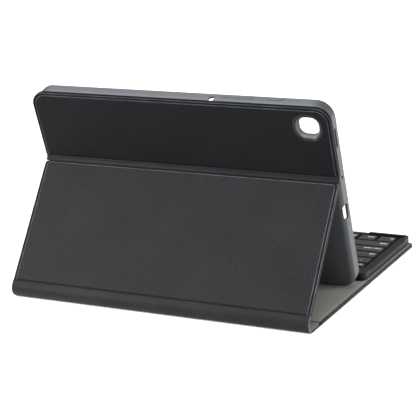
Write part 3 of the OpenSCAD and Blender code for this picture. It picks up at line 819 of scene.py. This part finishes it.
centreUp = tray["top"] - tray["tall"] / 2
pocketWide, pocketTall = tray["wide"] - 2 * tray["wall"], tray["tall"] - 2 * tray["wall"]
pocketLow, pocketHigh = tray["back"] + tray["floor"], front - tray["lip"]
pocket = pill("pocket", (0, centreUp, (pocketLow + pocketHigh) / 2),
              (pocketWide, pocketTall, pocketHigh - pocketLow), 2, tray["corner"] - tray["wall"], 12)
choose(pocket, "EDGE", atLevel(2, pocketLow))
bevelEdges(tray["pocketEdge"], 5)
clearSelection()
mouth = pill("mouth", (0, centreUp, front), (pocketWide - 2 * tray["reach"], pocketTall - 2 * tray["reach"], 4), 2,
             tray["corner"] - tray["wall"] - tray["reach"], 12)
window = pill("window", (cameraHole["x"], cameraHole["up"], 3.5), (cameraHole["wide"], cameraHole["high"], 6), 2,
              cameraHole["corner"], 10)
cutters = [pocket, mouth, window]
for side, slots in ((-1, leftSlots), (1, rightSlots)):
    for up, long, broad, deep in slots:
        cutters.append(pill("slot", (side * tray["wide"] / 2, up, deep), (8, long, broad), 0, broad / 2 - 0.1, 6))
for across, long, broad, deep in topSlots:
    cutters.append(pill("slot", (across, tray["top"], deep), (long, 8, broad), 1, min(long, broad) / 2 - 0.1, 6))
cutAway(tabletTray, *cutters)
soften(tabletTray, 0.3, 2, 40)
smoothOff(tabletTray, 35)
standUp(tabletTray, **trayFrame)
dress(tabletTray, trayFinish, "tray",
      ["tray_back", "tray_left_wall", "tray_right_wall", "tray_top_wall", "tray_bottom_wall", "tray_corners",
       "tray_lip"])

pads = dict(volume=(-49.7, 25.0), power=(-80.2, 12.8), broad=3.6, proud=0.5, deep=9.6)
for padName in ("volume", "power"):
    across, long = pads[padName]
    pad = pill(padName + "Pad", (across, tray["top"] + (pads["proud"] - tray["wall"]) / 2, pads["deep"]),
               (long, tray["wall"] + pads["proud"], pads["broad"]), 1, pads["broad"] / 2 - 0.1, 6)
    choose(pad, "FACE", facing(1, 1))
    insetFaces(0.35, 0.0)
    insetFaces(0.55, -0.14)
    clearSelection()
    soften(pad, 0.16, 3, 25)
    smoothOff(pad)
    standUp(pad, **trayFrame)
    dress(pad, trayFinish, padName + "_pad", [padName + "_pad"])
print("tray made")


# Keyboard case

case = dict(wide=246, front=-108.1, back=-4.6, bottom=2.9, joint=5.6, deck=8.2, corner=5,
            guardHigh=1.0, guardWide=3.2, guardFront=36, guardSide=14)
keys = dict(pitch=16.5, rowPitch=14.2, shortRow=10, gap=3, front=-102.1, half=115.5, edge=0.8, top=8.7, tall=1.7,
            corner=1.2, wall=0.8, roof=0.85)
rearLine = -15.6
socket = dict(y=-13.8, z=5.35, wide=9.1, high=3.2)
slide = dict(low=(120.6, -44.6, 3.9), high=(124.5, -36.6, 5.5))
screws = dict(x=(-108, -36, 36, 108), y=-8.6)
lensPlaces = (74, 79, 84)
halfWide = case["wide"] / 2


def peg(x, y, z, radius, depth, sides):
    clearSelection()
    bpy.ops.mesh.primitive_cylinder_add(vertices=sides, radius=radius * mm, depth=depth * mm,
                                        location=(x * mm, y * mm, z * mm))
    piece = bpy.context.object
    applyPlace(piece)
    return piece


def socketCutter():
    return pill("socketCut", (halfWide - 2.5, socket["y"], socket["z"]), (12, socket["wide"], socket["high"]), 0,
                socket["high"] / 2 - 0.02, 8)


caseBottom = startBlock("caseBottom", (-halfWide, case["front"], case["bottom"]),
                        (halfWide, case["back"], case["joint"] - 0.12))
choose(caseBottom, "EDGE", along(2))
bevelEdges(case["corner"], 10)
choose(caseBottom, "EDGE", atLevel(2, case["bottom"]))
bevelEdges(0.9, 3)
choose(caseBottom, "FACE", facing(2, 1))
insetFaces(1.4)
extrudeBy((0, 0, -(case["joint"] - 0.12 - case["bottom"] - 0.8)))
clearSelection()
bosses = []
for x in screws["x"]:
    boss = peg(x, screws["y"], 4.59, 2, 1.78, 20)
    choose(boss, "FACE", facing(2, 1))
    insetFaces(0.9)
    extrudeBy((0, 0, -1.5))
    clearSelection()
    bosses.append(boss)
cutters = [socketCutter(), startBlock("slideCut", slide["low"], slide["high"])]
cutters += [peg(x, screws["y"], case["bottom"], 1.4, 1.2, 24) for x in screws["x"]]
cutAway(caseBottom, *cutters)
soften(caseBottom, 0.14, 2, 40)
caseBottom = joinAll("caseBottom", [caseBottom] + bosses)
smoothOff(caseBottom)
dress(caseBottom, caseFinish, "keyboard", ["bottom_case"])

caseTop = startBlock("caseTop", (-halfWide, case["front"], case["joint"]), (halfWide, case["back"], case["deck"]))
choose(caseTop, "EDGE", along(2))
bevelEdges(case["corner"], 10)
choose(caseTop, "FACE", facing(2, 1))
insetFaces(case["guardWide"])
for axis, level in ((0, -halfWide + case["guardFront"]), (0, halfWide - case["guardFront"]),
                    (1, case["front"] + case["guardSide"]), (1, case["back"] - case["guardSide"])):
    choose(caseTop, "FACE", lambda face: face.normal.z > 0.99 and face.calc_area() < 0.005)
    point, normal = [0, 0, 0], [0, 0, 0]
    point[axis], normal[axis] = level * mm, 1
    bpy.ops.mesh.bisect(plane_co=point, plane_no=normal)
guardX = halfWide - case["guardFront"]
guardLow, guardHigh = case["front"] + case["guardSide"], case["back"] - case["guardSide"]


def isGuard(face):
    at = face.calc_center_median() / mm
    if face.normal.z < 0.99 or at.z < case["deck"] - 0.01 or face.calc_area() > 0.005:
        return False
    return abs(at.x) > guardX and (at.y < guardLow or at.y > guardHigh)


choose(caseTop, "FACE", isGuard)
extrudeBy((0, 0, case["guardHigh"]))
choose(caseTop, "VERT", lambda v: v.co.z / mm > case["deck"] + 0.5 and (abs(abs(v.co.x / mm) - guardX) < 0.05 or
                                                                    abs(v.co.y / mm - guardLow) < 0.05 or
                                                                    abs(v.co.y / mm - guardHigh) < 0.05))
shape = bmesh.from_edit_mesh(caseTop.data)
for v in shape.verts:
    if v.select:
        at = v.co / mm
        if abs(abs(at.x) - guardX) < 0.05:
            v.co.x += math.copysign(1.0, at.x) * mm
        else:
            v.co.y += (-1.0 if at.y < -50 else 1.0) * mm
bmesh.update_edit_mesh(caseTop.data)
clearSelection()
bayHalf = keys["half"] + keys["edge"]
bayBack = keys["front"] + 5 * keys["rowPitch"] + keys["shortRow"] + keys["edge"]
cutters = [startBlock("bay", (-bayHalf, keys["front"] - keys["edge"], 5), (bayHalf, bayBack, 9)),
           startBlock("bayUnder", (-bayHalf - 2, keys["front"] - keys["edge"] - 2, 5), (bayHalf + 2, bayBack + 2, 6.6)),
           startBlock("stemRoom", (58, rearLine - 3, 5), (87, rearLine + 3, 6.5)),
           pill("buttonHole", (64, rearLine, 7.5), (6.4, 3.4, 3), 2, 1.6, 8), socketCutter()]
for x in lensPlaces:
    cutters.append(pill("lensHole", (x, rearLine, 7.5), (2.4, 1.2, 3), 2, 0.5, 4))
cutters += [peg(x, screws["y"], case["joint"], 0.65, 2.4, 20) for x in screws["x"]]
cutAway(caseTop, *cutters)
soften(caseTop, 0.42, 3, 40)
smoothOff(caseTop)
dress(caseTop, caseFinish, "keyboard", ["top_frame"])
print("keyboard case made")

# Small parts of the case
switchKnob = startBlock("powerSwitch", (121.0, -44.3, 4.1), (123.2, -38.9, 5.3))
bpy.ops.object.mode_set(mode="EDIT")
for level in (-43.3, -42.8, -42.3, -41.8, -41.3, -40.8, -40.3, -39.8):
    bpy.ops.mesh.select_all(action="SELECT")
    bpy.ops.mesh.bisect(plane_co=(0, level * mm, 0), plane_no=(0, 1, 0))
ribs = [-43.05, -42.05, -41.05, -40.05]
choose(switchKnob, "FACE", lambda face: face.normal.x > 0.99 and
       any(abs(face.calc_center_median().y / mm - rib) < 0.1 for rib in ribs))
extrudeBy((0.28, 0, 0))
clearSelection()
soften(switchKnob, 0.08, 2, 40)
smoothOff(switchKnob)
dress(switchKnob, buttonFinish, "power_switch", ["power_switch"])

pairing = pill("pairingButton", (64, rearLine, 7.5), (5.8, 2.8, 2.0), 2, 1.3, 8)
choose(pairing, "FACE", facing(2, 1))
insetFaces(0.5, 0.0)
insetFaces(0.25, -0.12)
choose(pairing, "FACE", facing(2, -1))
insetFaces(0.7)
extrudeBy((0, 0, -1.4))
clearSelection()
soften(pairing, 0.15, 2, 40)
smoothOff(pairing)
dress(pairing, buttonFinish, "pairing_button", ["pairing_button"])

lenses = []
for x in lensPlaces:
    lens = pill("lens", (x, rearLine, 7.09), (2.3, 1.1, 2.32), 2, 0.45, 4)
    choose(lens, "EDGE", atLevel(2, 8.25))
    bevelEdges(0.1, 2)
    clearSelection()
    lenses.append(lens)
lensSet = joinAll("indicatorLenses", lenses)
smoothOff(lensSet)
dress(lensSet, lensFinish, "keyboard", ["indicator_lenses"])

feet = []
for x in (-107, 107):
    for y in (-103.1, -9.6):
        foot = pill("foot", (x, y, 2.76), (16, 4, 0.32), 2, 1.9, 8)
        choose(foot, "EDGE", atLevel(2, 2.6))
        bevelEdges(0.12, 2)
        clearSelection()
        feet.append(foot)
footSet = joinAll("rubberFeet", feet)
smoothOff(footSet)
dress(footSet, footFinish, "keyboard", ["rubber_feet"])
print("small parts made")


# Key caps and their legends. One body moves one key, or the like keys of a row.

rowKeys = [
    [("modifier_keys", 1, word) for word in ("fn", "ctrl", "alt", "lang")] +
    [("space_bar", 5, ""), ("modifier_keys", 1, "alt"), ("modifier_keys", 1, "ctrl"),
     ("arrow_keys", 1, "<"), ("arrow_keys", 1, "^\nv"), ("arrow_keys", 1, ">")],
    [("left_shift_key", 2.25, "shift")] + [("lower_row_keys", 1, c) for c in ("Z", "X", "C", "V", "B", "N", "M",
     "<\n,", ">\n.", "?\n/")] + [("right_shift_key", 1.75, "shift")],
    [("caps_lock_key", 1.75, "caps lock")] + [("home_row_keys", 1, c) for c in ("A", "S", "D", "F", "G", "H", "J", "K",
     "L", ":\n;", "\"\n'")] + [("enter_key", 1.25, "enter")],
    [("tab_key", 1.5, "tab")] + [("upper_row_keys", 1, c) for c in ("Q", "W", "E", "R", "T", "Y", "U", "I", "O", "P",
     "{\n[")] + [("upper_row_keys", 1.5, "}\n]")],
    [("grave_key", 1, "~\n`")] + [("number_row_keys", 1, c) for c in ("!\n1", "@\n2", "#\n3", "$\n4", "%\n5", "^\n6",
     "&\n7", "*\n8", "(\n9", ")\n0", "_\n-", "+\n=")] + [("backspace_key", 1, "back")],
    [("escape_key", 1, "esc")] + [("function_row_keys", 1, "F%d" % n) for n in range(1, 13)] +
    [("function_row_keys", 1, "del")],
]
legend = dict(letter=5.2, word=4.1, pair=3.1, small=3.2, lift=0.03, margin=1.3)
capModels = {}


def capOf(wide, deep):
    # one cap of each size, round its own middle
    size = (round(wide, 3), round(deep, 3))
    if size in capModels:
        return capModels[size]
    low, high = keys["top"] - keys["tall"], keys["top"]
    cap = startBlock("cap", (-wide / 2, -deep / 2, low), (wide / 2, deep / 2, high))
    choose(cap, "EDGE", along(2))
    bevelEdges(keys["corner"], 4)
    choose(cap, "FACE", facing(2, 1))
    insetFaces(0.22)
    choose(cap, "FACE", lambda face: face.normal.z > 0.99 and face.calc_area() > 1e-5)
    insetFaces(0.9, -0.1)
    choose(cap, "VERT", lambda v: abs(v.co.z / mm - high) < 0.01 and
           any(abs(edge.other_vert(v).co.z / mm - low) < 0.01 for edge in v.link_edges))
    bpy.ops.transform.translate(value=(0, 0, -0.28 * mm))
    choose(cap, "FACE", facing(2, -1))
    insetFaces(keys["wall"])
    extrudeBy((0, 0, keys["tall"] - keys["roof"] - 0.02))
    clearSelection()
    only(cap)
    bpy.ops.object.shade_smooth_by_angle(angle=math.radians(48))
    capModels[size] = cap
    return cap


def legendMesh(text, place, size, align):
    clearSelection()
    bpy.ops.object.text_add(location=(place[0] * mm, place[1] * mm, (keys["top"] - 0.1 + legend["lift"]) * mm))
    letters = bpy.context.object
    letters.data.body = text
    letters.data.size = size * mm
    letters.data.align_x = align
    letters.data.align_y = "CENTER"
    letters.data.space_line = 1.05
    letters.data.resolution_u = 2
    letters.data.extrude = 0.0
    bpy.ops.object.convert(target="MESH")
    letters = bpy.context.object
    applyPlace(letters)
    return letters


caps, legends = {}, {}
for number, row in enumerate(rowKeys):
    deepRow = keys["shortRow"] if number == 5 else keys["rowPitch"]
    y = keys["front"] + number * keys["rowPitch"] + deepRow / 2
    edge = -keys["half"]
    for body, units, text in row:
        wide, deep = units * keys["pitch"] - keys["gap"], deepRow - keys["gap"]
        x = edge + units * keys["pitch"] / 2
        edge += units * keys["pitch"]
        model = capOf(wide, deep)
        cap = model.copy()
        cap.data = model.data.copy()
        scene.collection.objects.link(cap)
        cap.location = (x * mm, y * mm, 0)
        applyPlace(cap)
        caps.setdefault(body, []).append(cap)
        if not text:
            continue
        if len(text) == 1:
            made = legendMesh(text, (x, y), legend["letter"], "CENTER")
        elif "\n" in text:
            made = legendMesh(text, (x, y), legend["pair"] * 1.1, "CENTER")
        elif number == 5:
            made = legendMesh(text, (x - wide / 2 + legend["margin"], y - 0.4), legend["small"], "LEFT")
        else:
            made = legendMesh(text, (x - wide / 2 + legend["margin"], y - 1.6), legend["word"], "LEFT")
        legends.setdefault(body, []).append(made)
for model in capModels.values():
    bpy.data.objects.remove(model)


def camel(name):
    parts = name.split("_")
    return parts[0] + "".join(part.title() for part in parts[1:])


for body, pieces in caps.items():
    capSet = joinAll(camel(body), pieces)
    smoothOff(capSet, 48)
    dress(capSet, capFinish, body, [body])
    if body in legends:
        letterSet = joinAll(camel(body) + "Legends", legends[body])
        dress(letterSet, legendFinish, body)
print("keys made")


# Floor and sky

floor = startBlock("floor", (-9000, -9000, -20), (9000, 9000, 0))
choose(floor, "EDGE", atLevel(2, 0))
bevelEdges(5, 2)
clearSelection()
floorFinish = Finish("paleFloor", 0.85, Specular_IOR_Level=0.15)
where, parts = floorFinish.place()
floorFinish.feed("Base Color", floorFinish.blendColour(floorFinish.noise(where, 160, 2), grey(0.93), grey(0.96)))
floor.data.materials.append(floorFinish.material)

sky = bpy.data.worlds.new("sky")
scene.world = sky
sky.use_nodes = True
background = sky.node_tree.nodes["Background"]
ray = sky.node_tree.nodes.new("ShaderNodeTexCoord")
split = sky.node_tree.nodes.new("ShaderNodeSeparateXYZ")
ramp = sky.node_tree.nodes.new("ShaderNodeValToRGB")
ramp.color_ramp.elements[0].color = grey(light["horizon"])
ramp.color_ramp.elements[1].color = grey(light["zenith"])
ramp.color_ramp.elements[1].position = 0.8
sky.node_tree.links.new(ray.outputs["Generated"], split.inputs[0])
sky.node_tree.links.new(split.outputs[2], ramp.inputs[0])
sky.node_tree.links.new(ramp.outputs[0], background.inputs[0])
background.inputs[1].default_value = 1.0

clearSelection()
print("scene ready")
